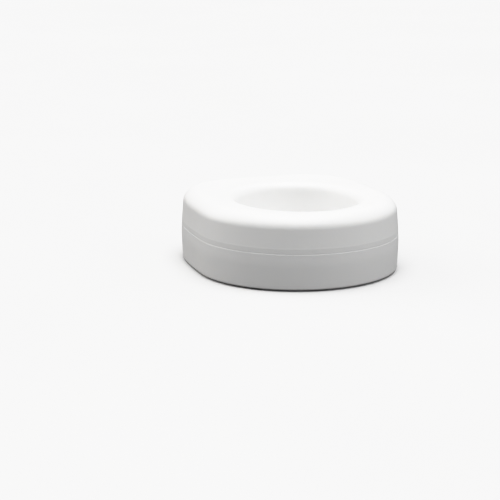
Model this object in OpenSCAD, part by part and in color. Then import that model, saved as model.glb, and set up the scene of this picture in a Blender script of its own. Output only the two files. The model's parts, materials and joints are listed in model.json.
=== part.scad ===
// Raised toilet seat: a two-shell hollow plastic riser that sits on the rim of a
// toilet bowl on four rubber pads and is held by two screw-locked sliding clamps
// that press outwards against the inside of the bowl.
//
// Axes: +Z up, -Y is the front of the toilet, +X is to the right seen from the front.
// Origin: on the rest plane (the undersides of the rim pads, which is the top of the
// bowl rim), on the centre plane, at the widest line of the seat.

/* [Seat body] */
// Overall width, at the widest line of the body
seat_w = 368; // [356:1:380]
// Distance from the widest line to the front of the seat
front_reach = 178; // [176:1:186]
// Distance from the widest line to the back of the seat
rear_reach = 230.5; // [222:0.5:240]
// Squareness of the two rear corners (2 is an ellipse, larger is squarer)
rear_square = 3.4; // [3:0.1:3.8]
// Height of the body from its base to the deck
body_h = 127.5; // [120:0.5:132]
// Width of the rolled outer edge of the deck
edge_w = 31; // [28:0.5:32]
// Height of the rolled outer edge of the deck
edge_h = 25; // [23:0.5:27]
// Wall thickness of both shells
wall = 3.5; // [3.4:0.1:3.6]
// How far the upper wall leans in between the belt and the rolled edge
draft_top = 3.6; // [3:0.1:4]
// How far the lower wall leans in between its widest line and the base
draft_base = 2; // [1:0.5:3]
// Height of the widest line of the body
wide_z = 48; // [42:1:54]

/* [Opening] */
// Width of the opening at its throat
opening_w = 216; // [210:1:218]
// Distance from the widest line to the front of the throat
opening_front = 122; // [116:1:123]
// Distance from the widest line to the back of the throat
opening_rear = 120; // [100:1:126]
// Radius of the lip between the deck and the throat
lip_r = 16; // [14:0.5:16.5]
// How far the splash guard hangs below the rest plane
guard_drop = 35; // [34:0.5:40]

/* [Seam] */
// Height of the seam above the rest plane
seam_z = 65.5; // [61:0.5:69]
// Height of the raised belt above the seam
belt_h = 10.5; // [8:0.5:12]
// How far the belt stands proud of the upper wall
belt_step = 0.4; // [0.3:0.1:0.8]
// How far the lower wall has leaned in from the widest line at the seam
in_base = 0.45; // [0.3:0.05:0.6]
// How far the belt stands in from the widest line
in_belt = 0.85; // [0.7:0.05:1]
// Shadow gap between the two shells
seam_gap = 0.4; // [0.3:0.1:0.6]

/* [Rim pads] */
// Height of the gap that the pads keep between the base and the bowl rim
pad_gap = 3; // [3:0.1:3.2]
// Diameter of a rim pad
pad_d = 26; // [24:1:28]
// Distance of a pad's centre from the origin, the mean radius of a bowl rim
pad_reach = 160; // [157:1:163]
// Angle of the rear pads back from the widest line
rear_pad_angle = 50; // [48:1:52]

/* [Clamps] */
// Distance of each clamp screw from the centre plane
screw_x = 121; // [120.5:0.5:121.5]
// Outward travel of a clamp arm
clamp_travel = 12; // [8:0.5:12]
// Depth of the clamp feet below the rest plane
foot_drop = 31; // [28:0.5:32]
// Diameter of the clamp knob
knob_d = 24; // [22:0.5:24]
// Height of the clamp knob
knob_h = 15; // [13:0.5:15]

/* [Hidden] */
$fn = 64;

z_base = pad_gap;                 // underside of the base floor
z_floor = pad_gap + wall;         // top of the base floor
z_top = pad_gap + body_h;         // deck
z_belt = seam_z + belt_h;         // top of the belt
stations = 96;                    // sections around the ring
screw_angles = [25, 65, 115, 155, 205, 245, 295, 335];

// ---------- plan curves ----------
function oval_r(t, a, bf, nf, bb, nb) =
    let (s = sin(t), c = cos(t), b = s < 0 ? bf : bb, n = s < 0 ? nf : nb)
    pow(pow(abs(c / a), n) + pow(abs(s / b), n), -1 / n);
function outer_pt(t) =
    oval_r(t, seat_w / 2, front_reach, 2, rear_reach, rear_square) * [cos(t), sin(t)];
open_yc = (opening_rear - opening_front) / 2;
open_b = (opening_rear + opening_front) / 2;
function inner_pt(t) =
    [0, open_yc] + oval_r(t, opening_w / 2, open_b, 1.95, open_b, 2.12) * [cos(t), sin(t)];
function turn(v) = [v[1], -v[0]] / norm(v);
// mitre vector of a closed polygon at corner k, so that offset edges stay parallel
function mitre(p, k) =
    let (n = len(p),
         a = turn(p[k] - p[(k + n - 1) % n]),
         b = turn(p[(k + 1) % n] - p[k]))
    (a + b) / (1 + a * b);
outer_poly = [for (k = [0:stations - 1]) outer_pt(360 * k / stations)];
inner_poly = [for (k = [0:stations - 1]) inner_pt(360 * k / stations)];
outer_m = [for (k = [0:stations - 1]) mitre(outer_poly, k)];
inner_m = [for (k = [0:stations - 1]) mitre(inner_poly, k)];
OUT = 0;                          // measured inwards from the outer curve
INN = 1;                          // measured outwards from the throat curve
function section_pt(q, k) =
    q[0] == OUT ? concat(outer_poly[k] - q[1] * outer_m[k], [q[2]])
                : concat(inner_poly[k] + q[1] * inner_m[k], [q[2]]);

// A ring whose section is a closed polygon of [curve, distance, height] points,
// listed anticlockwise with the outside of the seat to the right.
module ring_body(section) {
    m = len(section);
    polyhedron(
        points = [for (k = [0:stations - 1]) for (j = [0:m - 1]) section_pt(section[j], k)],
        faces = [for (k = [0:stations - 1]) for (j = [0:m - 1])
                 let (k2 = (k + 1) % stations, j2 = (j + 1) % m,
                      a = k * m + j, b = k * m + j2, c = k2 * m + j2, d = k2 * m + j)
                 each [[a, b, c], [a, c, d]]],
        convexity = 10);
}

// ---------- sections ----------
edge_c = draft_top + edge_w;      // inset of the rolled edge's centre
edge_z = z_top - edge_h;
lip_z = z_top - lip_r;
edge_wi = edge_w - wall;
edge_hi = edge_h - wall;
lip_ri = lip_r - wall;
throat_seam = -2;                 // throat lean at the seam
throat_base = -4;                 // at the base
throat_guard = -6;                // at the foot of the guard
half = wall / 2 - 0.05;           // thickness of each half of the lapped joint
half_o = in_belt + half;          // the same, measured from the widest line
belt_x = in_belt + belt_step;     // foot of the upper wall above the belt
belt_up = z_belt + 0.2;
// the upper wall runs tangent into the rolled edge, which starts at this angle
roll_x = (edge_c - belt_x) / edge_w;
roll_z = (edge_z - belt_up) / edge_h;
roll_a = acos(1 / norm([roll_x, roll_z])) - atan2(roll_z, roll_x);
lap = 5;                          // depth of the tongue

top_section = concat(
    [[OUT, in_belt, seam_z + seam_gap], [OUT, in_belt, z_belt - 0.3], [OUT, belt_x, belt_up]],
    [for (i = [0:8]) let (a = roll_a + (90 - roll_a) * i / 8)
        [OUT, edge_c - edge_w * cos(a), edge_z + edge_h * sin(a)]],
    [for (a = [90:-15:0]) [INN, lip_r - lip_r * cos(a), lip_z + lip_r * sin(a)]],
    [[INN, throat_seam, seam_z + seam_gap],
     [INN, throat_seam + half + 0.15, seam_z + seam_gap],
     [INN, throat_seam + half + 0.15, seam_z - lap],
     [INN, throat_seam + wall, seam_z - lap]],
    [for (a = [0:22.5:90]) [INN, lip_r - lip_ri * cos(a), lip_z + lip_ri * sin(a)]],
    [for (a = [90:-22.5:0]) [OUT, edge_c - edge_wi * cos(a), edge_z + edge_hi * sin(a)]],
    [[OUT, belt_x + wall, z_belt],
     [OUT, in_belt + wall, seam_z - lap],
     [OUT, half_o + 0.15, seam_z - lap],
     [OUT, half_o + 0.15, seam_z + seam_gap]]);

base_section = [
    [OUT, draft_base + 3, z_base], [OUT, draft_base + 0.9, z_base + 0.9],
    [OUT, draft_base, z_base + 3], [OUT, 0, wide_z], [OUT, in_base, seam_z],
    [OUT, half_o, seam_z], [OUT, half_o, seam_z - lap - 1.8],
    [OUT, in_belt + wall + 0.3, seam_z - lap - 1.8], [OUT, wall + 0.2, wide_z - 2],
    [OUT, draft_base + wall + 0.1, z_floor + 2], [OUT, draft_base + wall + 2.1, z_floor],
    [INN, throat_base + wall + 2.1, z_floor], [INN, throat_base + wall + 0.1, z_floor + 2],
    [INN, throat_seam + wall + 0.3, seam_z - lap - 1.8],
    [INN, throat_seam + half, seam_z - lap - 1.8],
    [INN, throat_seam + half, seam_z], [INN, throat_seam, seam_z],
    [INN, throat_base, z_base],
    [INN, throat_guard, -guard_drop + 0.8], [INN, throat_guard + 0.7, -guard_drop],
    [INN, throat_guard + 2.3, -guard_drop], [INN, throat_guard + 3, -guard_drop + 0.8],
    [INN, throat_base + wall, z_base]];

function seal_section(c, d) = [
    [c, d, seam_z - lap - 1.72], [c, d + 1.4, seam_z - lap - 1.72],
    [c, d + 1.4, seam_z - lap - 0.05], [c, d, seam_z - lap - 0.05]];
function flip(s) = [for (k = [len(s) - 1:-1:0]) s[k]];

// ---------- places ----------
function boss_pt(t) = (outer_pt(t) + inner_pt(t)) / 2;
pad_angles = [225, 315, 180 - rear_pad_angle, rear_pad_angle];
function pad_pt(t) = pad_reach * [cos(t), sin(t)];
module at_bosses() for (t = screw_angles) translate(boss_pt(t)) children();

// A web across the hollow body at angle t, cut from a [distance, height] outline
// that starts at the throat.
module web(t, thick, outline) {
    p = inner_pt(t);
    v = outer_pt(t) - p;
    translate([p[0], p[1], 0]) rotate([0, 0, atan2(v[1], v[0])])
        rotate([90, 0, 0]) translate([0, 0, -thick / 2])
            linear_extrude(thick) polygon(outline);
}
function span(t) = norm(outer_pt(t) - inner_pt(t));

post_top = seam_z - 2.5;          // joint plane of the screw posts
head_z = post_top - 12;           // seat of the screw heads

// ---------- shells ----------
module seat_top_shell() color([0.94, 0.94, 0.93]) difference() {
    union() {
        ring_body(top_section);
        at_bosses() translate([0, 0, post_top + 0.2])
            cylinder(r = 6, h = z_top - wall + 1.6 - post_top - 0.2);
        for (t = screw_angles) {
            w = span(t);
            web(t, 2.4, concat(
                [[wall / 2, z_top - 32], [wall / 2, lip_z]],
                [for (a = [30:30:90]) [lip_r - (lip_ri + 1.4) * cos(a), lip_z + (lip_ri + 1.4) * sin(a)]],
                [for (a = [90:-30:0]) [w - edge_c + (edge_wi + 1.2) * cos(a), edge_z + (edge_hi + 1.2) * sin(a)]],
                [[w - edge_c + edge_wi + 1.2, z_top - 32]]));
        }
    }
    at_bosses() translate([0, 0, post_top - 1]) cylinder(r = 2.15, h = 21);
}

module base_shell() color([0.93, 0.93, 0.92]) difference() {
    union() {
        ring_body(base_section);
        at_bosses() translate([0, 0, z_base + 1.5]) cylinder(r = 8, h = post_top - z_base - 1.5);
        for (t = screw_angles) {
            w = span(t);
            web(t, 2.4, [[-1.2, z_base + 1.5], [w - 4.2, z_base + 1.5],
                         [w - 4.2, z_base + 20], [w - 16, z_base + 34],
                         [14, z_base + 34], [-1.2, z_base + 20]]);
        }
        for (s = [-1, 1]) translate([s * screw_x, 0, z_base + 1.5]) cylinder(r = 11, h = 15.5);
        for (s = [-1, 1]) mirror([s < 0 ? 1 : 0, 0, 0]) for (v = [-1, 1]) mirror([0, v < 0 ? 1 : 0, 0]) {
            // guide rail and end stop of a clamp arm
            translate([108.6, 28.6, z_base - 4.5]) cube([20.9, 3, 5.2]);
            translate([110.6 + clamp_travel, 26.5, z_base - 4.5]) cube([2.2, 2.4, 5.2]);
        }
    }
    // screws between the shells
    at_bosses() {
        translate([0, 0, z_base - 1]) cylinder(r = 5.2, h = head_z - z_base + 1);
        translate([0, 0, head_z - 1]) cylinder(r = 2.4, h = 16);
    }
    // rim pads
    for (t = pad_angles) translate(pad_pt(t)) {
        translate([0, 0, z_base - 1]) cylinder(r = pad_d / 2 + 0.3, h = 2.5);
        translate([0, 0, z_base]) cylinder(r = 4.1, h = 6);
    }
    // clamp screws and their captive nuts
    for (s = [-1, 1]) translate([s * screw_x, 0, 0]) {
        translate([0, 0, z_base - 1]) cylinder(r = 4.6, h = 20);
        translate([0, 0, z_base + 9]) cylinder(r = 13.4 / sqrt(3), h = 10, $fn = 6);
    }
}

module seam_seal() color([0.35, 0.36, 0.37]) {
    ring_body(flip(seal_section(OUT, half_o + 0.25)));
    ring_body(seal_section(INN, throat_seam + half + 0.25));
}

module shell_screws() color([0.72, 0.73, 0.75])
    at_bosses() {
        difference() {
            translate([0, 0, head_z - 3.1]) cylinder(r = 4.25, h = 3.05);
            translate([0, 0, head_z - 4]) for (a = [0, 90]) rotate([0, 0, a]) cube([4.6, 1, 3.4], center = true);
        }
        translate([0, 0, head_z - 0.3]) cylinder(r = 2.1, h = 29);
    }

// ---------- rim pads ----------
module rim_pad(t) color([0.28, 0.29, 0.30]) translate(pad_pt(t)) difference() {
    rotate_extrude() polygon([
        [0, 0], [pad_d / 2 - 1, 0], [pad_d / 2, 1], [pad_d / 2, z_base + 1.45],
        [3.95, z_base + 1.45], [3.95, z_floor + 0.2], [5.4, z_floor + 0.2],
        [4.2, z_floor + 3.2], [0, z_floor + 3.2]]);
    // shallow suction cup in the underside
    translate([0, 0, -0.6]) cylinder(r1 = 7, r2 = 5, h = 1.4);
}

// ---------- clamps (drawn for the right side, mirrored for the left) ----------
module side(s) mirror([s < 0 ? 1 : 0, 0, 0]) children();
plate_in = 108.4;                 // inner end of a clamp arm at rest
plate_out = 130;                  // outer face of its legs at rest
plate_top = z_base - 0.15;
plate_low = plate_top - 4;

module clamp_arm(s) color([0.90, 0.90, 0.89]) side(s) union() {
    translate([0, 0, plate_low]) linear_extrude(4) polygon([
        [plate_in, 4.4], [125.4, 4.4], [125.4, -4.4], [plate_in, -4.4],
        [plate_in, -28], [plate_in + 2, -28], [plate_in + 2, -26], [plate_out - 2, -26],
        [plate_out, -24], [plate_out, 24], [plate_out - 2, 26],
        [plate_in + 2, 26], [plate_in + 2, 28], [plate_in, 28]]);
    for (v = [-20.2, 20.2]) translate([0, v, 0]) rotate([90, 0, 0]) {
        translate([0, 0, -5.4]) linear_extrude(10.8) polygon([
            [125.6, plate_low + 1], [plate_out, plate_low + 1], [plate_out, -foot_drop + 1],
            [plate_out - 1, -foot_drop], [127.2, -foot_drop], [126.2, -foot_drop + 1]]);
        translate([0, 0, -1.4]) linear_extrude(2.8) polygon([
            [112, plate_low + 1], [127, plate_low + 1], [127, -foot_drop + 6],
            [125.6, -foot_drop + 6], [124.4, -12], [113, plate_low]]);
    }
}

module clamp_facings(s) color([0.28, 0.29, 0.30]) side(s)
    for (v = [-20.2, 20.2]) translate([plate_out + 0.02, v, 0]) difference() {
        translate([0, -5, -foot_drop + 1.5]) cube([1.98, 10, 24]);
        for (z = [-foot_drop + 6.5:5:-foot_drop + 22]) translate([1.4, -6, z]) cube([1, 12, 1.2]);
    }

knob_top = plate_low - 1.9;
module clamp_knob(s) color([0.25, 0.26, 0.28]) side(s) translate([screw_x, 0, knob_top]) difference() {
    union() {
        translate([0, 0, -knob_h]) cylinder(r = knob_d / 2, h = knob_h - 2);
        translate([0, 0, -3]) cylinder(r = 8, h = 3);
    }
    for (a = [0:60:300]) rotate([0, 0, a + 30])
        translate([knob_d / 2 + 2.4, 0, -knob_h - 1]) cylinder(r = 4.4, h = knob_h + 2);
    translate([0, 0, -11]) cylinder(r = 3.92, h = 12);
}

module clamp_stud(s) color([0.70, 0.71, 0.73]) side(s)
    translate([screw_x, 0, knob_top - 10.8]) cylinder(r = 3.9, h = 22 - knob_top + 10.8);

module clamp_washer(s) color([0.74, 0.75, 0.77]) side(s)
    translate([screw_x, 0, knob_top + 0.1]) difference() {
        cylinder(r = 10, h = 1.6);
        translate([0, 0, -1]) cylinder(r = 4.2, h = 4);
    }

module clamp_nut(s) color([0.70, 0.71, 0.73]) side(s)
    translate([screw_x, 0, z_base + 9.05]) difference() {
        cylinder(r = 13 / sqrt(3), h = 6.5, $fn = 6);
        translate([0, 0, -1]) cylinder(r = 4, h = 9);
    }

seat_top_shell();
base_shell();
seam_seal();
shell_screws();
rim_pad(pad_angles[0]);  // rim_pad_front_left
rim_pad(pad_angles[1]);  // rim_pad_front_right
rim_pad(pad_angles[2]);  // rim_pad_rear_left
rim_pad(pad_angles[3]);  // rim_pad_rear_right
clamp_arm(-1);  // clamp_arm_left
clamp_facings(-1);  // clamp_facings_left
clamp_knob(-1);  // clamp_knob_left
clamp_stud(-1);  // clamp_stud_left
clamp_washer(-1);  // clamp_washer_left
clamp_nut(-1);  // clamp_nut_left
clamp_arm(1);  // clamp_arm_right
clamp_facings(1);  // clamp_facings_right
clamp_knob(1);  // clamp_knob_right
clamp_stud(1);  // clamp_stud_right
clamp_washer(1);  // clamp_washer_right
clamp_nut(1);  // clamp_nut_right
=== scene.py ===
import json
import math

import bmesh
import bpy
import numpy as np
from mathutils import Matrix, Vector


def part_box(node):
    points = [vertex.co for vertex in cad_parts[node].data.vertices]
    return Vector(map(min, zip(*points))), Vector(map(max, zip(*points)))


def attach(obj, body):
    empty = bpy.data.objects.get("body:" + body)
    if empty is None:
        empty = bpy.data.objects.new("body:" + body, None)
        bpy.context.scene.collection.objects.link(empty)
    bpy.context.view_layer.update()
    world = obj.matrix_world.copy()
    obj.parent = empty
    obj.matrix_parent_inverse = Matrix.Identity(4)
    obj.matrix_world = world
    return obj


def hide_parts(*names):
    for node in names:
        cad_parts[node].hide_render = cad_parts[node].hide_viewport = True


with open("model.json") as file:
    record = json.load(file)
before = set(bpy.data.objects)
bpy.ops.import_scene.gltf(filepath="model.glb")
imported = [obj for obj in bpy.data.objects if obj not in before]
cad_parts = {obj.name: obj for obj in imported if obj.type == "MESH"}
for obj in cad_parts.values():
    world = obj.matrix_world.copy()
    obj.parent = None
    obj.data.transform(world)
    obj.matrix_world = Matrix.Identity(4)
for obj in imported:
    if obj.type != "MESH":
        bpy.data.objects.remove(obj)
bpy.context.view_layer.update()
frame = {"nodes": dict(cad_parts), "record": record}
NODES = frame["nodes"]
MM = 0.001


# ---------------------------------------------------------------- node helpers
class Mat:
    """A small helper for building a node material."""

    def __init__(self, name):
        self.m = bpy.data.materials.new(name)
        self.m.use_nodes = True
        self.t = self.m.node_tree
        self.t.nodes.clear()
        self.out = self.n("ShaderNodeOutputMaterial")
        self.p = self.n("ShaderNodeBsdfPrincipled")
        self.t.links.new(self.p.outputs[0], self.out.inputs["Surface"])
        self.co = self.n("ShaderNodeTexCoord").outputs["Object"]

    def n(self, kind, **kw):
        node = self.t.nodes.new(kind)
        for k, v in kw.items():
            setattr(node, k, v)
        return node

    def put(self, sock, v):
        if hasattr(v, "links") or isinstance(v, bpy.types.NodeSocket):
            self.t.links.new(v, sock)
        else:
            sock.default_value = v

    def scaled(self, s):
        m = self.n("ShaderNodeMapping")
        self.t.links.new(self.co, m.inputs["Vector"])
        m.inputs["Scale"].default_value = s if isinstance(s, (tuple, list)) else (s, s, s)
        return m.outputs[0]

    def noise(self, scale, detail=4.0, rough=0.5, dist=0.0, vec=None):
        n = self.n("ShaderNodeTexNoise")
        self.put(n.inputs["Vector"], self.scaled(scale) if vec is None else vec)
        n.inputs["Scale"].default_value = 1.0
        n.inputs["Detail"].default_value = detail
        n.inputs["Roughness"].default_value = rough
        n.inputs["Distortion"].default_value = dist
        return n.outputs[0]

    def voronoi(self, scale, feature="F1", rand=1.0):
        n = self.n("ShaderNodeTexVoronoi", feature=feature)
        self.put(n.inputs["Vector"], self.scaled(scale))
        n.inputs["Scale"].default_value = 1.0
        n.inputs["Randomness"].default_value = rand
        return n.outputs[0]

    def ramp(self, fac, stops):
        n = self.n("ShaderNodeValToRGB")
        self.put(n.inputs[0], fac)
        e = n.color_ramp.elements
        while len(e) > 1:
            e.remove(e[-1])
        e[0].position, e[0].color = stops[0][0], self.rgba(stops[0][1])
        for pos, col in stops[1:]:
            q = e.new(pos)
            q.color = self.rgba(col)
        return n.outputs[0]

    @staticmethod
    def rgba(c):
        return (c, c, c, 1.0) if isinstance(c, (int, float)) else (c[0], c[1], c[2], 1.0)

    def math(self, op, a, b=0.0, clamp=False):
        n = self.n("ShaderNodeMath", operation=op, use_clamp=clamp)
        self.put(n.inputs[0], a)
        self.put(n.inputs[1], b)
        return n.outputs[0]

    def mix(self, fac, a, b):
        n = self.n("ShaderNodeMix", data_type="RGBA")
        self.put(n.inputs[0], fac)
        self.put(n.inputs[6], self.rgba(a) if not isinstance(a, bpy.types.NodeSocket) else a)
        self.put(n.inputs[7], self.rgba(b) if not isinstance(b, bpy.types.NodeSocket) else b)
        return n.outputs[2]

    def mapr(self, v, a, b, c, d, smooth=False):
        n = self.n("ShaderNodeMapRange")
        if smooth:
            n.interpolation_type = "SMOOTHSTEP"
        self.put(n.inputs[0], v)
        for k, x in zip((1, 2, 3, 4), (a, b, c, d)):
            n.inputs[k].default_value = x
        return n.outputs[0]

    def sep(self, v):
        n = self.n("ShaderNodeSeparateXYZ")
        self.put(n.inputs[0], v)
        return n.outputs

    def bump(self, height, strength, dist, normal=None):
        n = self.n("ShaderNodeBump")
        n.inputs["Strength"].default_value = strength
        n.inputs["Distance"].default_value = dist
        self.put(n.inputs["Height"], height)
        if normal is not None:
            self.put(n.inputs["Normal"], normal)
        return n.outputs[0]


def moulded_plastic(name, tone, shade, rough, seam=None, deck=False, grain=1.0, sss=0.0):
    """Injection-moulded plastic: slow tonal drift, spark-eroded grain, fine handling scratches, polished wear and dust,
    with painted shade and some dirt along the seam and painted shade with scuffs towards the foot.
    """
    m = Mat(name)
    p = m.p
    x, y, z = m.sep(m.co)
    drift = m.noise(7.0, 3.0, 0.55)
    flow = m.noise((18.0, 18.0, 4.0), 2.0, 0.5, 0.6)
    base = m.ramp(drift, [(0.30, [c * 0.985 for c in tone]), (0.70, tone)])
    base = m.mix(m.mapr(flow, 0.35, 0.75, 0.0, 0.35), base, shade)
    speck = m.mapr(m.noise(900.0, 2.0, 0.6), 0.69, 0.76, 0.0, 0.10)
    base = m.mix(speck, base, [c * 0.72 for c in shade])
    # rough: grain, fine crossed scratches, and a glossier worn zone
    g1 = m.noise(1500.0 * grain, 3.0, 0.6)
    g2 = m.voronoi(950.0 * grain)
    s1 = m.noise((26.0, 1300.0, 200.0), 2.0, 0.5, 1.2)
    s2 = m.noise((900.0, 34.0, 180.0), 2.0, 0.5, 1.6)
    scr = m.math("MAXIMUM", m.mapr(s1, 0.70, 0.76, 0.0, 1.0), m.mapr(s2, 0.71, 0.77, 0.0, 1.0))
    scr = m.math("MULTIPLY", scr, m.mapr(m.noise(11.0, 2.0), 0.48, 0.66, 0.0, 1.0))
    r = m.math("ADD", rough, m.mapr(drift, 0.3, 0.7, -0.035, 0.035))
    r = m.math("ADD", r, m.mapr(g1, 0.3, 0.7, -0.03, 0.03))
    r = m.math("ADD", r, m.math("MULTIPLY", scr, 0.10))
    if deck:
        up = m.mapr(z, 0.112, 0.130, 0.0, 1.0, True)
        sat = m.mapr(m.noise(13.0, 3.0, 0.6), 0.42, 0.62, 0.0, 1.0)
        r = m.math("SUBTRACT", r, m.math("MULTIPLY", m.math("MULTIPLY", up, sat), 0.05))
    if seam is not None:
        # painted shade with some dirt along the seam: a patchy darkening within 2.2 mm of the seam line, which also
        # roughens it there
        d = m.math("ABSOLUTE", m.math("SUBTRACT", z, seam))
        near = m.mapr(d, 0.0003, 0.0022, 1.0, 0.0, True)
        seam_dirt_and_shade = m.math("MULTIPLY", near, m.mapr(m.noise(60.0, 4.0, 0.65), 0.40, 0.70, 0.0, 0.07))
        base = m.mix(seam_dirt_and_shade, base, (0.47, 0.455, 0.43))
        r = m.math("ADD", r, m.math("MULTIPLY", seam_dirt_and_shade, 0.25))
    # painted shade with scuffs towards the foot: streaky patches darken the surface within 11 mm of the rest plane, and
    # all of any part below it
    foot = m.mapr(z, 0.0045, 0.011, 1.0, 0.0, True)
    foot_scuff_and_shade = m.math("MULTIPLY", foot, m.mapr(m.noise((70.0, 70.0, 420.0), 4.0, 0.7), 0.50, 0.72, 0.0, 0.22))
    base = m.mix(foot_scuff_and_shade, base, (0.50, 0.49, 0.47))
    p.inputs["Base Color"].default_value = (*tone, 1)
    m.put(p.inputs["Base Color"], base)
    m.put(p.inputs["Roughness"], m.math("ADD", r, 0.0, True))
    p.inputs["IOR"].default_value = 1.49
    if "Specular IOR Level" in p.inputs:
        p.inputs["Specular IOR Level"].default_value = 0.42
    if sss > 0:
        p.inputs["Subsurface Weight"].default_value = sss
        p.inputs["Subsurface Radius"].default_value = (0.0045, 0.0043, 0.0040)
        p.inputs["Subsurface Scale"].default_value = 1.0
    peel = m.noise(150.0, 3.0, 0.5)
    b = m.bump(peel, 0.10, 0.0006)
    b = m.bump(m.math("ADD", g1, m.math("MULTIPLY", g2, 0.6)), 0.16, 0.00012, b)
    b = m.bump(m.math("MULTIPLY", scr, -1.0), 0.18, 0.00008, b)
    m.put(p.inputs["Normal"], b)
    return m.m


def rubber(name, tone, worn, scale=1.0):
    m = Mat(name)
    p = m.p
    n1 = m.noise(45.0 * scale, 4.0, 0.6)
    n2 = m.noise(1400.0 * scale, 3.0, 0.6)
    v = m.voronoi(700.0 * scale)
    base = m.ramp(n1, [(0.32, [c * 0.86 for c in tone]), (0.68, [c * 1.12 for c in tone])])
    dust = m.mapr(m.noise(130.0 * scale, 5.0, 0.7), 0.52, 0.74, 0.0, 0.40)
    base = m.mix(dust, base, worn)
    m.put(p.inputs["Base Color"], base)
    m.put(p.inputs["Roughness"], m.mapr(n1, 0.3, 0.7, 0.66, 0.84))
    p.inputs["IOR"].default_value = 1.5
    if "Sheen Weight" in p.inputs:
        p.inputs["Sheen Weight"].default_value = 0.12
        p.inputs["Sheen Roughness"].default_value = 0.5
    b = m.bump(n2, 0.30, 0.0002)
    b = m.bump(v, 0.22, 0.00015, b)
    m.put(p.inputs["Normal"], b)
    return m.m


def steel(name, tone, lathe=False, rough=0.30):
    m = Mat(name)
    p = m.p
    p.inputs["Metallic"].default_value = 1.0
    x, y, z = m.sep(m.co)
    if lathe:
        turn = m.noise((90.0, 90.0, 6000.0), 2.0, 0.5)
    else:
        turn = m.noise((3200.0, 240.0, 240.0), 2.0, 0.5)
    blotch = m.noise(260.0, 4.0, 0.6)
    base = m.ramp(blotch, [(0.3, [c * 0.90 for c in tone]), (0.7, tone)])
    spot = m.mapr(m.noise(700.0, 3.0, 0.7), 0.66, 0.74, 0.0, 0.35)
    base = m.mix(spot, base, (0.34, 0.30, 0.26))
    m.put(p.inputs["Base Color"], base)
    r = m.math("ADD", rough, m.mapr(turn, 0.3, 0.7, -0.07, 0.09))
    r = m.math("ADD", r, m.math("MULTIPLY", spot, 0.5), True)
    m.put(p.inputs["Roughness"], r)
    b = m.bump(turn, 0.20, 0.00006)
    b = m.bump(blotch, 0.08, 0.0002, b)
    m.put(p.inputs["Normal"], b)
    return m.m


WHITE = (0.868, 0.866, 0.858)
MATS = {
    "shell_plastic": moulded_plastic("shell_plastic_satin", WHITE, (0.835, 0.835, 0.832), 0.40, seam=0.0656, deck=True, sss=0.3),
    "base_plastic": moulded_plastic("base_plastic_satin", (0.862, 0.861, 0.854), (0.828, 0.829, 0.827), 0.42, seam=0.0656, sss=0.3),
    "clamp_plastic": moulded_plastic("clamp_plastic_filled", (0.77, 0.77, 0.755), (0.70, 0.70, 0.69), 0.50, grain=0.8),
    "knob_plastic": moulded_plastic("knob_plastic_grained", (0.085, 0.088, 0.094), (0.060, 0.062, 0.066), 0.46, grain=0.7),
    "pad_rubber": rubber("pad_rubber_matt", (0.105, 0.108, 0.112), (0.23, 0.225, 0.215)),
    "facing_rubber": rubber("facing_rubber_matt", (0.115, 0.118, 0.122), (0.24, 0.235, 0.225), 1.2),
    "seal_rubber": rubber("seal_rubber_matt", (0.14, 0.142, 0.145), (0.22, 0.22, 0.21)),
    "screw_steel": steel("screw_steel_pan", (0.66, 0.665, 0.68), True),
    "stud_steel": steel("stud_steel_thread", (0.62, 0.625, 0.64), True, 0.34),
    "washer_steel": steel("washer_steel_tumbled", (0.68, 0.685, 0.70), False, 0.36),
}
SLOT_OF = {s["node"]: s["material_slot"] for s in frame["record"]["subparts"]}


def dress(o, mat):
    if not o.data.materials:
        o.data.materials.append(mat)
    for k in range(len(o.material_slots)):
        o.material_slots[k].link = "OBJECT"
        o.material_slots[k].material = mat


for n, o in NODES.items():
    dress(o, MATS[SLOT_OF[n]])


# ---------------------------------------------------------------- mesh helpers
def link(name, mesh):
    o = bpy.data.objects.new(name, mesh)
    bpy.context.scene.collection.objects.link(o)
    return o


def mesh_from(name, verts, faces, smooth_deg=35.0):
    me = bpy.data.meshes.new(name)
    me.from_pydata([tuple(v) for v in verts], [], faces)
    me.validate()
    o = link(name, me)
    tidy(o, smooth_deg)
    return o


def tidy(o, smooth_deg=35.0, weld=1e-7):
    bm = bmesh.new()
    bm.from_mesh(o.data)
    bmesh.ops.remove_doubles(bm, verts=bm.verts, dist=weld)
    bmesh.ops.dissolve_degenerate(bm, edges=bm.edges, dist=1e-7)
    bmesh.ops.recalc_face_normals(bm, faces=bm.faces)
    lim = math.radians(smooth_deg)
    for f in bm.faces:
        f.smooth = True
    for e in bm.edges:
        e.smooth = not (len(e.link_faces) == 2 and e.calc_face_angle(0.0) > lim)
    bm.to_mesh(o.data)
    bm.free()
    o.data.update()


def boolean(o, tool, op):
    m = o.modifiers.new("b", "BOOLEAN")
    m.operation = op
    m.object = tool
    m.solver = "EXACT"
    m.use_self = False
    bpy.context.view_layer.update()
    dg = bpy.context.evaluated_depsgraph_get()
    me = bpy.data.meshes.new_from_object(o.evaluated_get(dg))
    o.modifiers.clear()
    old = o.data
    o.data = me
    bpy.data.meshes.remove(old)
    bpy.data.objects.remove(tool)
    return o


def join(parts, name):
    bm = bmesh.new()
    for q in parts:
        bm.from_mesh(q.data)
    me = bpy.data.meshes.new(name)
    bm.to_mesh(me)
    bm.free()
    for q in parts:
        bpy.data.objects.remove(q)
    return link(name, me)


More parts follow.
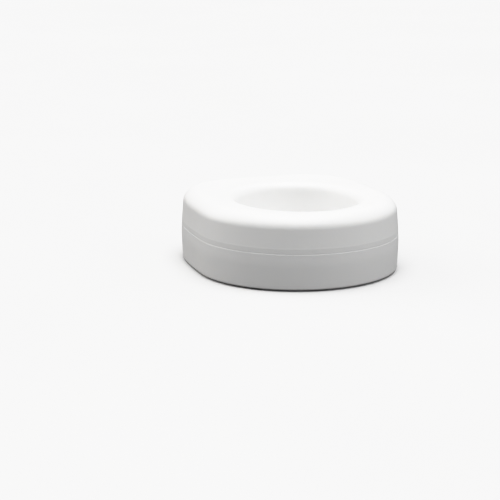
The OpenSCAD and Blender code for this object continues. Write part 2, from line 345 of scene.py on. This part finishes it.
def lathe(name, prof, at=(0, 0, 0), seg=48, smooth_deg=35.0):
    """A closed solid of revolution about a vertical axis through at. prof is [(r, z)] in mm; r 0 only at its ends."""
    verts, faces = [], []
    rings = []
    for r, z in prof:
        if r < 1e-9:
            rings.append([len(verts)])
            verts.append((at[0] * MM, at[1] * MM, (at[2] + z) * MM))
        else:
            rings.append(list(range(len(verts), len(verts) + seg)))
            for k in range(seg):
                a = 2 * math.pi * k / seg
                verts.append(((at[0] + r * math.cos(a)) * MM, (at[1] + r * math.sin(a)) * MM, (at[2] + z) * MM))
    closed = len(rings[0]) > 1 and len(rings[-1]) > 1
    pairs = list(zip(rings, rings[1:])) + ([(rings[-1], rings[0])] if closed else [])
    for a, b in pairs:
        for k in range(seg):
            k2 = (k + 1) % seg
            q = [a[k % len(a)], a[k2 % len(a)], b[k2 % len(b)], b[k % len(b)]]
            q = [v for i, v in enumerate(q) if v not in q[:i]]
            if len(q) > 2:
                faces.append(q)
    return mesh_from(name, verts, faces, smooth_deg)


def prism(name, poly, z0, z1):
    """A vertical prism on an [(x, y)] outline in mm."""
    n = len(poly)
    verts = [(x * MM, y * MM, z * MM) for z in (z0, z1) for x, y in poly]
    faces = [list(range(n))[::-1], list(range(n, 2 * n))]
    faces += [[k, (k + 1) % n, n + (k + 1) % n, n + k] for k in range(n)]
    return mesh_from(name, verts, faces)


def fillet(points, radii, steps=4):
    """Rounds the corners of a 2-D polyline: radii[k] is the radius at points[k] (0 keeps it sharp)."""
    out = []
    n = len(points)
    for k, p in enumerate(points):
        r = radii[k]
        if r <= 0 or k in (0, n - 1):
            out.append(tuple(p))
            continue
        a = np.array(points[k - 1], float) - p
        b = np.array(points[k + 1], float) - p
        la, lb = np.linalg.norm(a), np.linalg.norm(b)
        a, b = a / la, b / lb
        ang = math.acos(max(-1, min(1, float(a @ b))))
        d = min(r / math.tan(ang / 2), 0.48 * la, 0.48 * lb)
        rr = d * math.tan(ang / 2)
        c = np.array(p, float) + (a + b) / np.linalg.norm(a + b) * (rr / math.sin(ang / 2))
        s, e = np.array(p) + a * d, np.array(p) + b * d
        a0 = math.atan2(*(s - c)[::-1])
        a1 = math.atan2(*(e - c)[::-1])
        da = (a1 - a0 + math.pi) % (2 * math.pi) - math.pi
        for i in range(steps + 1):
            t = a0 + da * i / steps
            out.append((c[0] + rr * math.cos(t), c[1] + rr * math.sin(t)))
    return out


# ---------------------------------------------------------------- the ring bodies
hi_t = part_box("seat_top_shell")[1]
lo_b, hi_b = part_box("base_shell")
HALF_W = hi_b.x / MM                              # the base holds the widest line of the body
FRONT = -lo_b.y / MM
REAR = hi_b.y / MM
Z_TOP = hi_t.z / MM
Z_GUARD = lo_b.z / MM
SEAM = 65.5
BELT = 10.5
EDGE_W, EDGE_H, LIP_R, WALL = 31.0, 25.0, 16.0, 3.5
D_TOP, D_BASE = 3.6, 2.0
WIDE_Z = 48.0                                     # the widest line of the body
IN_B, IN_T = 0.45, 0.85                           # how far the base and the belt stand in from it at the seam
OPEN_A, OPEN_F, OPEN_B = 108.0, 122.0, 120.0
STN = 288


def oval_r(t, a, bf, nf, bb, nb):
    c, s = math.cos(t), math.sin(t)
    b, n = (bf, nf) if s < 0 else (bb, nb)
    return (abs(c / a) ** n + abs(s / b) ** n) ** (-1 / n)


def outer_pt(t):
    return oval_r(t, HALF_W, FRONT, 2.0, REAR, 3.4) * np.array([math.cos(t), math.sin(t)])


def inner_pt(t):
    half = (OPEN_F + OPEN_B) / 2
    return np.array([0, (OPEN_B - OPEN_F) / 2]) + oval_r(t, OPEN_A, half, 1.95, half, 2.12) * np.array(
        [math.cos(t), math.sin(t)]
    )


def mitres(p):
    a = p - np.roll(p, 1, 0)
    b = np.roll(p, -1, 0) - p
    na = np.stack([a[:, 1], -a[:, 0]], -1) / np.linalg.norm(a, axis=1)[:, None]
    nb = np.stack([b[:, 1], -b[:, 0]], -1) / np.linalg.norm(b, axis=1)[:, None]
    return (na + nb) / (1 + (na * nb).sum(1))[:, None]


ANG = [2 * math.pi * k / STN for k in range(STN)]
P_OUT = np.array([outer_pt(t) for t in ANG])
P_INN = np.array([inner_pt(t) for t in ANG])
M_OUT, M_INN = mitres(P_OUT), mitres(P_INN)


def ring_points(q):
    """q is (kind, distance, height): kind 0 from the outer curve inwards, 1 from the throat outwards, or (0..1 blend) for the deck."""
    kind, d, z = q
    if kind == 0:
        xy = P_OUT - d * M_OUT
    elif kind == 1:
        xy = P_INN + d * M_INN
    else:
        share = d
        xy = (P_OUT - kind[0] * M_OUT) * (1 - share) + (P_INN + kind[1] * M_INN) * share
    return np.concatenate([xy, np.full((STN, 1), z)], 1) * MM


def ring_body(name, section, smooth_deg=35.0):
    m = len(section)
    verts = np.stack([ring_points(q) for q in section], 1).reshape(-1, 3)
    faces = []
    for k in range(STN):
        k2 = (k + 1) % STN
        for j in range(m):
            j2 = (j + 1) % m
            faces.append([k * m + j, k2 * m + j, k2 * m + j2, k * m + j2])
    return mesh_from(name, verts, faces, smooth_deg)


def tag(kind, pts):
    return [(kind, d, z) for d, z in pts]


def arc(kind, cx, cz, r, a0, a1, steps, rv=None):
    """Points of a circular edge, or of an elliptical one r wide and rv high."""
    out = []
    for i in range(steps + 1):
        a = math.radians(a0 + (a1 - a0) * i / steps)
        out.append((kind, cx - r * math.cos(a), cz + (rv or r) * math.sin(a)))
    return out


def between(q0, q1, shares):
    """Rows at the given shares of the way between two points on the same curve. Rows close to a corner keep its shading there."""
    return [(q0[0], q0[1] + (q1[1] - q0[1]) * f, q0[2] + (q1[2] - q0[2]) * f) for f in shares]


def rows(q0, q1, n):
    """n evenly spaced rows strictly between two points on the same curve."""
    return [(q0[0], q0[1] + (q1[1] - q0[1]) * i / (n + 1), q0[2] + (q1[2] - q0[2]) * i / (n + 1)) for i in range(1, n + 1)]


edge_c, edge_z, lip_z = D_TOP + EDGE_W, Z_TOP - EDGE_H, Z_TOP - LIP_R
edge_wi, edge_hi, lip_ri = EDGE_W - WALL, EDGE_H - WALL, LIP_R - WALL
HALF = IN_T + WALL / 2 - 0.05                     # where the outer tongue and groove meet
HALF_I = WALL / 2 - 0.05
GAP = 0.05                                        # hairline between the two shells
z_low = SEAM + GAP
LAP = 5.0
belt_x, belt_z = IN_T + 0.4, SEAM + BELT + 0.2

# the drafted wall runs tangent into the rolled edge, which starts A0 degrees round its ellipse
up_x, up_z = (edge_c - belt_x) / EDGE_W, (edge_z - belt_z) / EDGE_H
A0 = math.degrees(math.acos(1 / math.hypot(up_x, up_z)) - math.atan2(up_z, up_x))
t_x = edge_c - EDGE_W * math.cos(math.radians(A0))
t_z = edge_z + EDGE_H * math.sin(math.radians(A0))
wall_up = fillet(
    [(HALF + 0.15, z_low), (IN_T, z_low), (IN_T + 0.15, SEAM + BELT - 1.3), (belt_x, belt_z + 0.7), (t_x, t_z)],
    [0, 0.25, 3.0, 3.0, 0], 4)
top_section = (
    tag(0, wall_up[1:6])
    + between((0, *wall_up[5]), (0, *wall_up[6]), (0.04, 0.12, 0.5, 0.9))
    + tag(0, wall_up[6:-1])
    + between((0, *wall_up[-2]), (0, t_x, t_z), (0.03, 0.25, 0.5, 0.75, 0.97))
    + arc(0, edge_c, edge_z, EDGE_W, A0, 90, 26, EDGE_H)
    + [((edge_c, LIP_R), f, Z_TOP) for f in (0.06, 0.16, 0.3, 0.44, 0.58, 0.72, 0.86, 0.95)]
    + arc(1, LIP_R, lip_z, LIP_R, 90, 0, 16)
    + rows((1, 0, lip_z), (1, -2, SEAM), 5)
    + tag(1, fillet([(-1.9, SEAM + 6), (-2.0, z_low), (-2 + HALF_I + 0.15, z_low)], [0, 0.25, 0], 3)[1:])
    + [(1, -2 + HALF_I + 0.15, SEAM - LAP), (1, -2 + WALL, SEAM - LAP)]
    + arc(1, LIP_R, lip_z, lip_ri, 0, 90, 6)
    + [((edge_c, LIP_R), f, Z_TOP - WALL) for f in (0.75, 0.5, 0.25)]
    + arc(0, edge_c, edge_z, edge_wi, 90, 0, 8, edge_hi)
    + [(0, IN_T + 0.45 + WALL, SEAM + BELT), (0, IN_T + WALL, SEAM - LAP), (0, HALF + 0.15, SEAM - LAP), (0, HALF + 0.15, z_low)]
)

Z_B = 3.0
Z_F = Z_B + WALL
wall_dn = fillet(
    [(26.0, Z_B), (D_BASE, Z_B), (0.0, WIDE_Z), (IN_B - 0.03, SEAM - 1.1), (IN_T - 0.05, SEAM), (HALF, SEAM)],
    [0, 3.0, 300.0, 1.2, 0.1, 0], 8)
base_section = (
    tag(0, wall_dn[:10])
    + between((0, *wall_dn[9]), (0, *wall_dn[10]), (0.03, 0.25, 0.5, 0.75))
    + tag(0, wall_dn[10:19])
    + between((0, *wall_dn[18]), (0, *wall_dn[19]), (0.5, 0.95))
    + tag(0, wall_dn[19:])
    + [(0, HALF, SEAM - LAP - 1.8), (0, IN_T + WALL + 0.3, SEAM - LAP - 1.8), (0, WALL + 0.2, WIDE_Z - 2), (0, D_BASE + WALL + 0.1, Z_F + 2),
       (0, D_BASE + WALL + 2.1, Z_F), (1, -4 + WALL + 2.1, Z_F), (1, -4 + WALL + 0.1, Z_F + 2),
       (1, -2 + WALL + 0.3, SEAM - LAP - 1.8), (1, -2 + HALF_I, SEAM - LAP - 1.8)]
    + tag(1, fillet([(-2 + HALF_I, SEAM - 3), (-2 + HALF_I, SEAM), (-2.0, SEAM), (-2.3, SEAM - 8)], [0, 0.1, 0.25, 0], 3)[1:-1])
    + rows((1, -2.0, SEAM), (1, -4.0, Z_B), 5)
    + [(1, -4.0, Z_B)]
    + rows((1, -4.0, Z_B), (1, -6.0, Z_GUARD + 1.0), 2)
    + tag(1, fillet([(-5.95, Z_GUARD + 2.5), (-6.0, Z_GUARD), (-3.0, Z_GUARD), (-2.95, Z_GUARD + 2.5)], [0, 1.2, 1.2, 0], 5)[1:-1])
    + rows((1, -3.0, Z_GUARD + 1.2), (1, -0.5, Z_B), 2)
    + tag(1, fillet([(-1.0, Z_B - 6), (-0.5, Z_B), (8.0, Z_B)], [0, 1.5, 0], 4)[1:-1])
    + [(1, 8.0, Z_B)]
)

SCREWS = [math.radians(a) for a in (25, 65, 115, 155, 205, 245, 295, 335)]
POSTS = [(outer_pt(t) + inner_pt(t)) / 2 for t in SCREWS]
PADS = {"front_left": 225, "front_right": 315, "rear_left": 130, "rear_right": 50}
PAD_AT = {k: (160 * math.cos(math.radians(a)), 160 * math.sin(math.radians(a))) for k, a in PADS.items()}
POST_TOP = SEAM - 2.5
HEAD_Z = POST_TOP - 12
SCREW_X = 121.0


def web(name, t, outline, thick=2.4):
    p, q = inner_pt(t), outer_pt(t)
    v = (q - p) / np.linalg.norm(q - p)
    nrm = np.array([-v[1], v[0]])
    verts, n = [], len(outline)
    for s in (-thick / 2, thick / 2):
        for d, z in outline:
            w = p + v * d + nrm * s
            verts.append((w[0] * MM, w[1] * MM, z * MM))
    faces = [list(range(n)), list(range(n, 2 * n))[::-1]] + [[k, n + k, n + (k + 1) % n, (k + 1) % n] for k in range(n)]
    return mesh_from(name, verts, faces)


def box_mm(name, x0, x1, y0, y1, z0, z1):
    return prism(name, [(x0, y0), (x1, y0), (x1, y1), (x0, y1)], z0, z1)


# upper shell
top = ring_body("deck_shell", top_section)
posts = [lathe("t", [(0, POST_TOP + 0.2), (6, POST_TOP + 0.2), (6, Z_TOP - WALL + 0.8), (0, Z_TOP - WALL + 0.8)], (x, y, 0), 32) for x, y in POSTS]
boolean(top, join(posts, "t_posts"), "UNION")
webs = []
for t in SCREWS:
    w = float(np.linalg.norm(outer_pt(t) - inner_pt(t)))
    o_ = [(WALL / 2, Z_TOP - 32), (WALL / 2, lip_z)]
    o_ += [(LIP_R - (lip_ri + 1.4) * math.cos(math.radians(a)), lip_z + (lip_ri + 1.4) * math.sin(math.radians(a))) for a in (30, 60, 90)]
    o_ += [(w - edge_c + (edge_wi + 0.7) * math.cos(math.radians(a)), edge_z + (edge_hi + 0.7) * math.sin(math.radians(a))) for a in (90, 60, 30, 0)]
    o_ += [(w - edge_c + edge_wi + 0.7, Z_TOP - 32)]
    webs.append(web("t", t, o_))
boolean(top, join(webs, "t_webs"), "UNION")
pilots = [lathe("t", [(0, POST_TOP - 1), (2.15, POST_TOP - 1), (2.15, POST_TOP + 20), (0, POST_TOP + 20)], (x, y, 0), 20) for x, y in POSTS]
boolean(top, join(pilots, "t_pilots"), "DIFFERENCE")
tidy(top)

# lower shell
base = ring_body("lower_shell", base_section)
adds = [lathe("t", [(0, Z_B + 1.5), (8, Z_B + 1.5), (8, POST_TOP), (0, POST_TOP)], (x, y, 0), 40) for x, y in POSTS]
adds += [lathe("t", [(0, Z_B + 1.5), (11, Z_B + 1.5), (11, Z_B + 17), (0, Z_B + 17)], (s * SCREW_X, 0, 0), 48) for s in (-1, 1)]
boolean(base, join(adds, "b_posts"), "UNION")
rails = []
for s in (-1, 1):
    for v in (-1, 1):
        pts = fillet([(109.6, 28.6), (108.6, 28.6), (108.6, 31.6), (129.5, 31.6), (129.5, 28.6), (124.8, 28.6), (124.8, 26.5), (122.6, 26.5), (122.6, 28.6), (109.6, 28.6)],
                     [0, 0.5, 0.9, 0.9, 0.9, 0.4, 0.5, 0.5, 0.4, 0], 3)[:-1]
        pts = [(s * a, v * b) for a, b in pts]
        rails.append(prism("t", pts, Z_B - 4.5, Z_B + 0.7))
boolean(base, join(rails, "b_rails"), "UNION")
webs = []
for t in SCREWS:
    w = float(np.linalg.norm(outer_pt(t) - inner_pt(t)))
    webs.append(web("t", t, [(-1.2, Z_B + 1.5), (w - 4.2, Z_B + 1.5), (w - 4.2, Z_B + 20), (w - 16, Z_B + 34), (14, Z_B + 34), (-1.2, Z_B + 20)]))
boolean(base, join(webs, "b_webs"), "UNION")
cuts = []
for x, y in POSTS:
    cuts.append(lathe("t", [(0, Z_B - 1), (6.9, Z_B - 1), (5.9, Z_B), (5.2, Z_B + 0.7), (5.2, HEAD_Z), (2.4, HEAD_Z), (2.4, POST_TOP + 2), (0, POST_TOP + 2)], (x, y, 0), 40))
for x, y in PAD_AT.values():
    cuts.append(lathe("t", [(0, Z_B - 1), (14.2, Z_B - 1), (13.7, Z_B), (13.3, Z_B + 0.4), (13.3, Z_B + 1.5), (4.1, Z_B + 1.5), (4.1, Z_B + 6), (0, Z_B + 6)], (x, y, 0), 56))
for s in (-1, 1):
    cuts.append(lathe("t", [(0, Z_B - 1), (5.4, Z_B - 1), (4.9, Z_B), (4.6, Z_B + 0.4), (4.6, Z_B + 12), (0, Z_B + 12)], (s * SCREW_X, 0, 0), 36))
boolean(base, join(cuts, "b_cuts"), "DIFFERENCE")
pockets = [lathe("t", [(0, Z_B + 9), (13.4 / math.sqrt(3), Z_B + 9), (13.4 / math.sqrt(3), Z_B + 19), (0, Z_B + 19)], (s * SCREW_X, 0, 0), 6) for s in (-1, 1)]
boolean(base, join(pockets, "b_pockets"), "DIFFERENCE")
tidy(base)

for o, node, slot in ((top, "seat_top_shell", "shell_plastic"), (base, "base_shell", "base_plastic")):
    o.data.materials.clear()
    o.data.materials.append(MATS[slot])
    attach(o, "seat")
    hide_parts(node)

# ---------------------------------------------------------------- rubber pads
pad_prof = (
    [(0, 0.9), (4.6, 0.9)]
    + fillet([(4.6, 0.9), (5.2, 0.75), (6.4, 0.05), (7.4, 0.0), (8.2, 0.0)], [0, 0.5, 0.5, 0.4, 0], 3)[1:]
    + [(8.5, 0.32), (9.1, 0.32), (9.4, 0.0), (10.2, 0.0), (10.5, 0.32), (11.0, 0.32), (11.3, 0.0), (11.9, 0.0)]
    + fillet([(11.9, 0.0), (13.0, 0.05), (13.0, 4.45), (8.0, 4.45)], [0, 1.0, 0.3, 0], 5)[1:-1]
    + [(3.95, 4.45), (3.95, 6.7), (5.0, 6.7), (5.4, 7.1), (4.3, 9.4), (3.8, 9.7), (0, 9.7)]
)
for key, (x, y) in PAD_AT.items():
    o = lathe(f"rim_pad_{key}_rubber", pad_prof, (x, y, 0), 64, 40)
    o.data.materials.append(MATS["pad_rubber"])
    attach(o, "seat")
    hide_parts(f"rim_pad_{key}")


# ---------------------------------------------------------------- clamps
def bevelled(o, width, segments=3, angle=35.0):
    """A CAD solid with its edges broken: weld its split corners, join its flat facets, then bevel. All modifiers."""
    w = o.modifiers.new("weld", "WELD")
    w.merge_threshold = 2e-6
    d = o.modifiers.new("flat", "DECIMATE")
    d.decimate_type = "DISSOLVE"
    d.angle_limit = math.radians(0.6)
    b = o.modifiers.new("bevel", "BEVEL")
    b.width = width * MM
    b.segments = segments
    b.limit_method = "ANGLE"
    b.angle_limit = math.radians(angle)
    b.harden_normals = False
    b.use_clamp_overlap = True


def knob_mesh(name, cx):
    """A six-lobed knob, its section rolled over at the foot, with a shallow dished cap and a hub under the washer."""
    top_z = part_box("clamp_knob_left")[1].z / MM
    seg = 144
    H, R = 15.0, 12.0

    def radius(a, shrink):
        # circle of radius R with six round scallops, each of radius 4.4 centred 14.4 out
        r = R
        for k in range(6):
            d = (a - math.radians(30 + 60 * k) + math.pi) % (2 * math.pi) - math.pi
            if abs(d) < math.radians(28):
                b = 14.4 * math.cos(d)
                disc = b * b - 14.4**2 + 4.4**2
                if disc > 0:
                    r = min(r, b - math.sqrt(disc))
        return r - shrink

    # smooth the polar outline a little so that lobes meet scallops in a small radius
    base_r = np.array([radius(2 * math.pi * k / seg, 0.0) for k in range(seg)])
    for _ in range(3):
        base_r = 0.25 * np.roll(base_r, 1) + 0.5 * base_r + 0.25 * np.roll(base_r, -1)
    layers = [  # (shrink, z below the top face)
        (3.2, -3.0), (1.2, -3.0), (0.55, -3.15), (0.15, -3.55), (0.0, -4.2), (0.0, -7.5), (0.0, -11.0), (0.1, -12.6),
        (0.45, -13.7), (1.05, -14.5), (1.9, -14.9), (2.8, -15.0), (3.4, -14.9), (3.7, -14.6)]
    verts, faces = [], []
    rings = []

    def add_ring(rs, z):
        rings.append(list(range(len(verts), len(verts) + seg)))
        for k in range(seg):
            a = 2 * math.pi * k / seg
            verts.append(((cx + rs[k] * math.cos(a)) * MM, rs[k] * math.sin(a) * MM, (top_z + z) * MM))

    add_ring(np.full(seg, 4.02), -10.9)
    add_ring(np.full(seg, 4.02), -0.3)
    add_ring(np.full(seg, 4.4), 0.0)
    add_ring(np.full(seg, 7.4), 0.0)
    add_ring(np.full(seg, 7.9), -0.25)
    add_ring(np.full(seg, 8.0), -0.7)
    add_ring(np.minimum(np.full(seg, 8.0), base_r - 0.4), -2.7)
    for sh, z in layers[1:]:
        add_ring(base_r - sh, z)
    add_ring(np.full(seg, 6.6), -14.35)
    add_ring(np.full(seg, 6.2), -14.1)
    add_ring(np.full(seg, 3.0), -14.0)
    for a, b in zip(rings, rings[1:]):
        for k in range(seg):
            k2 = (k + 1) % seg
            faces.append([a[k], a[k2], b[k2], b[k]])
    faces.append(rings[0][::-1])
    faces.append(rings[-1])
    return mesh_from(name, verts, faces, 40)


def thread_mesh(name, cx, z0, z1, r=3.9, depth=0.62, pitch=1.25):
    """A right-hand threaded stud with chamfered ends."""
    seg, per = 32, 6
    n = int((z1 - z0) / pitch * per)
    verts, faces = [], []
    rows_ = []
    for i in range(n + 1):
        z = z0 + (z1 - z0) * i / n
        ring = []
        for k in range(seg):
            a = 2 * math.pi * k / seg
            ph = (z / pitch - a / (2 * math.pi)) % 1.0
            tri = 1 - abs(2 * ph - 1)
            cut = depth * min(1.0, max(0.0, (tri - 0.12) / 0.62))
            end = min(z - z0, z1 - z)
            rr = min(r - cut, r - depth - 0.25 + max(0.0, end) * 1.0)
            ring.append(len(verts))
            verts.append(((cx + rr * math.cos(a)) * MM, rr * math.sin(a) * MM, z * MM))
        rows_.append(ring)
    for a, b in zip(rows_, rows_[1:]):
        for k in range(seg):
            k2 = (k + 1) % seg
            faces.append([a[k], a[k2], b[k2], b[k]])
    faces.append(rows_[0][::-1])
    faces.append(rows_[-1])
    return mesh_from(name, verts, faces, 50)


for side, s in (("left", -1), ("right", 1)):
    cx = s * SCREW_X
    k = knob_mesh(f"lobed_knob_{side}", cx)
    k.data.materials.append(MATS["knob_plastic"])
    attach(k, f"knob_{side}")
    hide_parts(f"clamp_knob_{side}")
    lo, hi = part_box(f"clamp_stud_{side}")
    t = thread_mesh(f"threaded_stud_{side}", cx, lo.z / MM, hi.z / MM)
    t.data.materials.append(MATS["stud_steel"])
    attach(t, f"knob_{side}")
    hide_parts(f"clamp_stud_{side}")
    bevelled(NODES[f"clamp_arm_{side}"], 0.45)
    bevelled(NODES[f"clamp_facings_{side}"], 0.22, 2)
    bevelled(NODES[f"clamp_washer_{side}"], 0.20, 2)
    bevelled(NODES[f"clamp_nut_{side}"], 0.25, 2)
bevelled(NODES["shell_screws"], 0.25, 2)

# ---------------------------------------------------------------- floor, light, camera
def floor_mesh():
    """A plain floor at the rest plane. Under the seat it has a smooth well in the shape of a bowl's mouth, which the guard and clamps hang into."""
    seg = 160
    verts, faces, rings = [], [], []

    def add(fn, z):
        rings.append(list(range(len(verts), len(verts) + seg)))
        for k in range(seg):
            a = 2 * math.pi * k / seg
            x, y = fn(a)
            verts.append((x * MM, y * MM, z * MM))

    def mouth(shrink):
        return lambda a: (
            oval_r(a, 147.5 - shrink, 139 - shrink, 2, 143 - shrink, 2.2) * math.cos(a),
            oval_r(a, 147.5 - shrink, 139 - shrink, 2, 143 - shrink, 2.2) * math.sin(a),
        )

    for r in (40000, 12000, 4000, 1500, 600, 300):
        add(lambda a, r=r: (r * math.cos(a), r * math.sin(a)), 0)
    add(mouth(-6), 0)
    add(mouth(-2), 0)
    add(mouth(-0.6), -0.4)
    add(mouth(0), -1.6)
    for dz, sh in ((-20, 2), (-45, 8), (-75, 22), (-105, 46), (-125, 78), (-134, 110)):
        add(mouth(sh), dz)
    for a, b in zip(rings, rings[1:]):
        for k in range(seg):
            k2 = (k + 1) % seg
            faces.append([a[k], a[k2], b[k2], b[k]])
    faces.append(rings[-1])
    me = bpy.data.meshes.new("stage_floor")
    me.from_pydata(verts, [], faces)
    me.validate()
    o = link("stage_floor", me)
    bm = bmesh.new()
    bm.from_mesh(me)
    bmesh.ops.recalc_face_normals(bm, faces=bm.faces)
    bm.faces.ensure_lookup_table()
    if bm.faces[0].normal.z < 0:
        bmesh.ops.reverse_faces(bm, faces=bm.faces)
    for f in bm.faces:
        f.smooth = True
    bm.to_mesh(me)
    bm.free()
    return o


def floor_material(name, bounce, glow=0.0):
    """A pale matt sheet under bright light. It shows pale to the camera, and sends a stated share of light back up at the seat."""
    m = Mat(name)
    p = m.p
    ray = m.n("ShaderNodeLightPath").outputs["Is Camera Ray"]
    v = m.ramp(m.noise(1.3, 4.0, 0.5), [(0.3, 0.685), (0.7, 0.71)])
    m.put(p.inputs["Base Color"], m.mix(ray, bounce, v))
    m.put(p.inputs["Roughness"], m.mapr(m.noise(9.0, 4.0), 0.3, 0.7, 0.72, 0.84))
    p.inputs["Specular IOR Level"].default_value = 0.1
    if glow:
        # the light that a white bowl throws back up through the opening
        p.inputs["Emission Color"].default_value = (1.0, 1.0, 1.0, 1.0)
        m.put(p.inputs["Emission Strength"], m.math("MULTIPLY", m.math("SUBTRACT", 1.0, ray), glow))
    m.put(p.inputs["Normal"], m.bump(m.noise(220.0, 3.0), 0.03, 0.0006))
    # seen from below it is clear, so that the underside of the seat can be looked at
    geo = m.n("ShaderNodeNewGeometry")
    clear = m.n("ShaderNodeBsdfTransparent")
    mix = m.n("ShaderNodeMixShader")
    m.put(mix.inputs[0], m.math("MULTIPLY", geo.outputs["Backfacing"], ray))
    m.t.links.new(p.outputs[0], mix.inputs[1])
    m.t.links.new(clear.outputs[0], mix.inputs[2])
    m.t.links.new(mix.outputs[0], m.out.inputs["Surface"])
    return m.m


floor = floor_mesh()
floor.data.materials.append(floor_material("floor_pale", 0.15))
floor.data.materials.append(floor_material("well_pale", 0.90, 0.55))
for f in floor.data.polygons:
    f.material_index = 1 if f.center.z < -0.0001 else 0


def sun(name, az, el, spread, power, colour=(1, 1, 1)):
    """A soft distant light. az 0 comes from the front, 90 from the right; el is its height and spread its width in degrees."""
    data = bpy.data.lights.new(name, "SUN")
    data.energy = power
    data.angle = math.radians(spread)
    data.color = colour
    o = bpy.data.objects.new(name, data)
    bpy.context.scene.collection.objects.link(o)
    a, e = math.radians(az), math.radians(el)
    d = Vector((math.sin(a) * math.cos(e), -math.cos(a) * math.cos(e), math.sin(e)))
    o.rotation_mode = "QUATERNION"
    o.rotation_quaternion = (-d).to_track_quat("-Z", "Y")
    return o


sun("overhead_broad", 0, 90, 50, 2.95)
sun("front_high", 0, 60, 30, 0.46)
sun("back_left", -130, 30, 50, 1.114, (1.0, 0.975, 0.94))
sun("back_right", 130, 30, 50, 0.155)
sun("front_right", 66, 26, 50, 0.60)

# a white studio: the backdrop is white to the camera, and a softer dome of light to the seat
world = bpy.data.worlds.new("studio")
bpy.context.scene.world = world
world.use_nodes = True
wt = world.node_tree
bg = wt.nodes.get("Background")
bg.inputs[0].default_value = (1.0, 1.0, 1.0, 1.0)
ray = wt.nodes.new("ShaderNodeLightPath")
level = wt.nodes.new("ShaderNodeMapRange")
level.inputs["To Min"].default_value = 0.34
level.inputs["To Max"].default_value = 1.15
wt.links.new(ray.outputs["Is Camera Ray"], level.inputs["Value"])
wt.links.new(level.outputs["Result"], bg.inputs["Strength"])

# a photographic shoulder, so that the brightly lit deck rolls off to white instead of clipping
view = bpy.context.scene.view_settings
view.view_transform = "Standard"
view.use_curve_mapping = True
curve = view.curve_mapping
curve.white_level = (1.8, 1.8, 1.8)
points = curve.curves[3].points
for x, y in ((0.2778, 0.500), (0.372, 0.655), (0.444, 0.770), (0.533, 0.875), (0.667, 0.945), (0.85, 0.985)):
    points.new(x, y)
points[0].location = (0.0, 0.0)
points[-1].location = (1.0, 1.0)
curve.update()

# the camera looks from the front left, 13.6 degrees above the horizon, 2.7 m away
cam_data = bpy.data.cameras.new("camera")
cam_data.sensor_width = 36.0
cam_data.lens = 108.0
cam_data.clip_start, cam_data.clip_end = 0.05, 100.0
cam = bpy.data.objects.new("camera", cam_data)
bpy.context.scene.collection.objects.link(cam)
az, pitch, roll = math.radians(-19.46), math.radians(13.57), math.radians(-0.04)
back = Vector((math.sin(az) * math.cos(pitch), -math.cos(az) * math.cos(pitch), math.sin(pitch)))
right = Vector((math.cos(az), math.sin(az), 0))
up = back.cross(right)
r_ = math.cos(roll) * right + math.sin(roll) * up
u_ = -math.sin(roll) * right + math.cos(roll) * up
cam.matrix_world = Matrix(
    ((r_.x, u_.x, back.x, -0.9552), (r_.y, u_.y, back.y, -2.4522), (r_.z, u_.z, back.z, 0.6662), (0, 0, 0, 1))
)
bpy.context.scene.camera = cam
